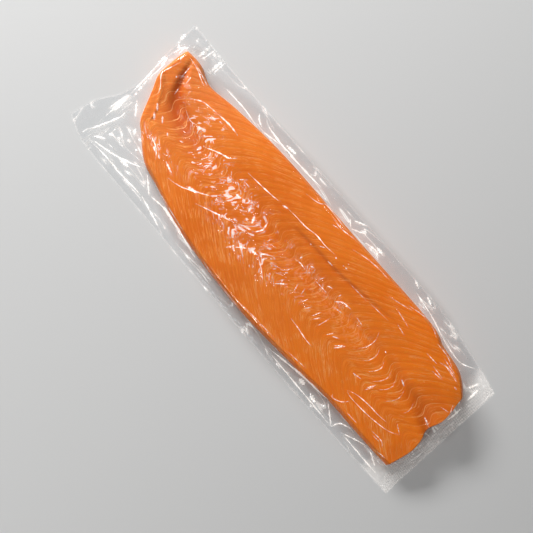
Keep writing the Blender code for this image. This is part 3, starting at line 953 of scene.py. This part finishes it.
def layBar(bar, path, width, whiteness, style):
    # places in plan, rise over the film and whiteness of a bar that is bent along a crease; the whiteness
    # is partly creased film and partly a painted highlight
    shape = pointsOf(bar)
    station = np.rint(shape[:, 2] + 0.5)
    share = station / station.max()
    middle = alongLine(path, share)
    step = alongLine(path, np.clip(share + 0.01, 0, 1)) - alongLine(path, np.clip(share - 0.01, 0, 1))
    step /= np.linalg.norm(step, axis=1)[:, None]
    taper = np.sin(np.pi * np.clip(share, 0.03, 0.97)) ** 0.5
    uneven = 0.8 + 0.2 * np.sin(share * 23.0 + width * 40.0)
    # the bar's round section becomes a low roof: its top corner is the crest, the lowest two its base
    crest = np.clip((shape[:, 1] + 0.405) / 0.905, 0, 1)
    half = 0.5 * width * style["width"]
    sideways = np.sign(shape[:, 0].round(3)) * (1 - crest) * half * mm * taper * uneven
    x = middle[:, 0] - step[:, 1] * sideways
    y = middle[:, 1] + step[:, 0] * sideways
    rise = bag["foldRise"] * (1 + min(width, bag["flatWidth"])) * style["rise"]
    # clear along its base, so that the whiteness fades out sideways
    white = whiteness * style["white"] * taper * uneven * (crest > 0.01)
    return bar, x, y, crest * rise * mm * taper, white


def makeFolds(name):
    # each crease is a copy of one bar laid along its path on the film, thin at both ends
    short, long = (ridgeBar(bag[stations]) for stations in ("fewStations", "manyStations"))
    styled = [(bag["marginFolds"], crease) for crease in marginCreases]
    styled += [(bag["filletFolds"], crease) for crease in filletCreases]
    copies = []
    for style, (width, whiteness, *points) in styled:
        path = smoothLine(points, 8) * mm
        length = np.linalg.norm(np.diff(path, axis=0), axis=1).sum()
        bar = short if length < bag["shortFold"] else long
        copies.append(layBar(bar, path, width, whiteness, style))
    made = []
    count = np.cumsum([0] + [len(copy[1]) for copy in copies])
    x, y = (np.concatenate([copy[k] for copy in copies]) for k in (1, 2))
    under = np.maximum(heightsUnder(film, x, y), bag["foldLowest"])
    for k, (bar, x, y, rise, whiteness) in enumerate(copies):
        fold = bpy.data.objects.new(name, bar.data.copy())
        bpy.context.scene.collection.objects.link(fold)
        z = under[count[k]:count[k + 1]] + rise - bag["sink"] * (rise == 0)
        setPoints(fold, np.stack([x, y, z], axis=-1))
        field = fold.data.attributes.new("white", "FLOAT", "POINT")
        field.data.foreach_set("value", whiteness.astype(np.float32))
        made.append(fold)
    deselectAll()
    for bar in (short, long):
        bar.select_set(True)
    bpy.ops.object.delete()
    for fold in made:
        fold.select_set(True)
    bpy.context.view_layer.objects.active = made[0]
    bpy.ops.object.join()
    folds = bpy.context.object
    folds.name = name
    folds.data.name = name
    bpy.ops.object.shade_smooth_by_angle(angle=math.radians(70))
    return folds


filmFolds = makeFolds("film_folds")

# The look of the film: clear where it is flat, and white along its creases and at its seal, partly as milky
# film and partly as painted highlights
clearFilm = {
    "specular": 0.9,
    # the creases' painted glint glows with this strength and the colour below
    "paintedGlintStrength": 0.14,
    "milkAndSheenColour": (1.0, 0.965, 0.93),
    # painted shade: the clear film of the margin is tinted dark, to dim the floor as its shadow would
    "marginShadeColour": (0.09, 0.14, 0.19),
    "paintedGlintColour": (1.0, 0.97, 0.93),
    # noise for the painted highlights on the film over the flesh: how often it changes with the flakes and
    # across, then its values
    "crescents": ((1.1, 60.0), 1.0, 2.0, 0.5, 0.6),
    "web": ((1.7, 85.0), 1.0, 2.0, 0.55, 0.9),
    "spread": ((1.6, 105.0), 1.0, 2.0, 0.5, 0.8),
    "crescentThin": 0.028,
    "webThin": 0.026,
    "streakThin": 0.034,
    # the creases in the margin turn to run across the bag from here to here
    "turnX": (0.205, 0.222),
    # how much each of these whitens the film: along creases, wrinkles and streaks this is partly milky film
    # and partly painted highlight, and at the skirt and in part at the seal it is painted reflection in the
    # fillet's shadow
    "whiteness": {"crease": 1.25, "wrinkleHighlights": 1.0, "streaks": 1.2, "hem": 0.18, "hatch": 0.9, "seal": 0.32,
                  "skirt": 0.36},
    "mostMilkAndSheen": 0.92,
    "roughness": (0.12, 0.08),
    "mirror": (0.90, 0.3, 0.06),
    "alpha": (0.03, 0.09, 0.92),
}


def filmMaterial():
    bench = Bench("clear_film", Specular_IOR_Level=clearFilm["specular"],
                  Emission_Strength=clearFilm["paintedGlintStrength"])
    place = bench.place()
    white, seal, hem, loose, cover, muscle, margin, skirt = (bench.field(name) for name in (
        "white", "seal", "hem", "loose", "cover", "muscle", "margin", "skirt"))
    x, y = (bench.node("ShaderNodeSeparateXYZ", inputs={0: place}, output=axis) for axis in "XY")

    def overFlesh(name):
        # noise that follows the flakes
        (byMuscle, byAcross), *values = clearFilm[name]
        return bench.noise(bench.vector(muscle * byMuscle, y * byAcross), *values)

    def bands(direction, scale):
        return bench.node("ShaderNodeTexWave", {"wave_type": "BANDS", "bands_direction": direction}, {
            "Vector": place, "Scale": scale, "Distortion": 5.0, "Detail": 2.0,
        }, output="Fac")

    # painted highlights on the wrinkled film over the flesh: creases that follow the flakes, finer ones
    # that go any way, and small filled patches
    crescents = bench.squiggles(overFlesh("crescents"), clearFilm["crescentThin"])
    web = bench.squiggles(overFlesh("web"), clearFilm["webThin"])
    broken = bench.ease(bench.noise(place, 90.0, 2.0), 0.49, 0.56)
    patches = bench.ease(overFlesh("spread") + loose * 0.10, 0.69, 0.705) * bench.ease(loose, 0.25, 0.6)
    wrinkleHighlights = loose * (crescents * 0.75 + web * 0.70) * (broken * 0.9 + 0.1) + patches * 0.70
    # long creases in the margin, which turn to run across at the narrow end: partly whitened film, partly
    # painted highlight
    nearEnd = bench.ease(x * -1.0, *clearFilm["turnX"])
    course = bench.vector(x * (nearEnd * 60.0 + 16.0), y * (95.0 - nearEnd * 70.0))
    streaks = bench.squiggles(bench.noise(course, 1.0, 2.0, 0.5, 0.6), clearFilm["streakThin"])
    streaks = streaks * bench.ease(bench.noise(place, 38.0, 2.0), 0.44, 0.56) * margin
    # the fine woven print of the seal, with small painted sparkles
    sparkle = bench.ease(bench.noise(place, 420.0, 2.0, 0.7), 0.52, 0.70)
    hatch = bands("X", 105.0) * 0.3 + bands("Y", 150.0) * 0.25 + sparkle * 0.55
    hatch = seal * hatch * bench.ease(bench.noise(place, 60.0), 0.3, 0.7, 0.3, 1.0)
    uneven = bench.ease(bench.noise(place, 330.0, 2.0), 0.34, 0.56, 0.45, 1.0)
    soft = bench.noise(place, 130.0, 3.0, 0.55, 0.4)
    normal = bench.bump(soft, loose * 0.85 + margin * 0.25 + 0.06, 0.0024)
    normal = bench.bump(hatch + wrinkleHighlights + streaks, 0.7, 0.0005, normal)
    bench.feed("Normal", normal)
    parts = {"crease": white * uneven, "wrinkleHighlights": wrinkleHighlights, "streaks": streaks, "hem": hem,
             "hatch": hatch, "seal": seal, "skirt": skirt}
    whole = sum(parts[name] * share for name, share in clearFilm["whiteness"].items())
    milkAndSheen = bench.node("ShaderNodeMath", {"operation": "MINIMUM"}, {0: whole, 1: clearFilm["mostMilkAndSheen"]})
    clear = bench.ease(milkAndSheen, 0.0, 0.15, 1.0, 0.0)
    # painted shade where the margin's film is clear
    tint = bench.blend(clear * margin, clearFilm["milkAndSheenColour"], clearFilm["marginShadeColour"])
    bench.feed("Base Color", tint)
    smooth, rougherMilkAndSheen = clearFilm["roughness"]
    bench.feed("Roughness", smooth + milkAndSheen * rougherMilkAndSheen)
    overFillet, offMargin, least = clearFilm["mirror"]
    bench.feed("Metallic", clear * (cover * overFillet + (1 - margin) * offMargin) + least)
    # the margin's clear film is opaque enough to show its painted shade
    faint, inMargin, inMilkAndSheen = clearFilm["alpha"]
    bench.feed("Alpha", faint + margin * clear * inMargin + milkAndSheen * inMilkAndSheen)
    # painted glint: the milky creases glow, whichever way they face
    paintedGlint = bench.ease(milkAndSheen - seal * 0.5, 0.15, 0.60)
    bench.feed("Emission Color", bench.blend(paintedGlint, (0.0, 0.0, 0.0), clearFilm["paintedGlintColour"]))
    return bench.material


filmLook = filmMaterial()
for piece in (film, filmFolds):
    piece.data.materials.append(filmLook)
    # film this thin and clear casts no shadow worth seeing; the margin's painted shade stands in for the
    # little it gives
    piece.visible_shadow = False

for piece, slot in ((salmon, "salmon_flesh"), (film, "clear_film"), (filmFolds, "clear_film")):
    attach(piece, "root")
    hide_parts("packed_fillet")


# A plain pale floor and soft studio light from the narrow end's side
print("studio")
studio = {
    "floor": 4.0,
    "floorDrop": 0.0003,
    "floorColour": (0.66, 0.66, 0.655, 1),
    "floorRoughness": 0.6,
    "world": 0.077,
    "lamps": {
        "key": {"energy": 57.0, "width": 1.25, "depth": 0.36, "from": (-1.870, 0.500, 0.800)},
        "overhead": {"energy": 5.0, "width": 0.25, "depth": 0.25, "from": (-1.213, 0.606, 1.596)},
        "stripBelly": {"energy": 4.2, "width": 0.20, "depth": 0.20, "from": (0.0, -0.9, 1.1)},
        "stripBack": {"energy": 1.5, "width": 0.16, "depth": 0.16, "from": (-0.1, 0.9, 1.1)},
        "stripCut": {"energy": 0.5, "width": 0.12, "depth": 0.12, "from": (0.95, 0.1, 1.1)},
    },
}


def addFloor():
    deselectAll()
    bpy.ops.mesh.primitive_plane_add(size=studio["floor"], location=(0, 0, -studio["floorDrop"]))
    floor = bpy.context.object
    floor.name = "floor"
    bench = Bench("floor", Roughness=studio["floorRoughness"])
    bench.feed("Base Color", studio["floorColour"])
    floor.data.materials.append(bench.material)


def addSoftbox(name, values):
    light = bpy.data.lights.new(name, "AREA")
    light.energy = values["energy"]
    light.shape = "RECTANGLE"
    light.size = values["width"]
    light.size_y = values["depth"]
    lamp = bpy.data.objects.new(name, light)
    bpy.context.scene.collection.objects.link(lamp)
    lamp.location = values["from"]
    lamp.rotation_euler = (-Vector(values["from"])).to_track_quat("-Z", "Y").to_euler()


def setWorld():
    world = bpy.data.worlds.new("studio")
    world.use_nodes = True
    world.node_tree.nodes["Background"].inputs["Color"].default_value = (1, 1, 1, 1)
    world.node_tree.nodes["Background"].inputs["Strength"].default_value = studio["world"]
    bpy.context.scene.world = world


addFloor()
for lampName, lampValues in studio["lamps"].items():
    addSoftbox(lampName, lampValues)
setWorld()
bpy.context.scene.view_settings.view_transform = "Standard"

print("finish")
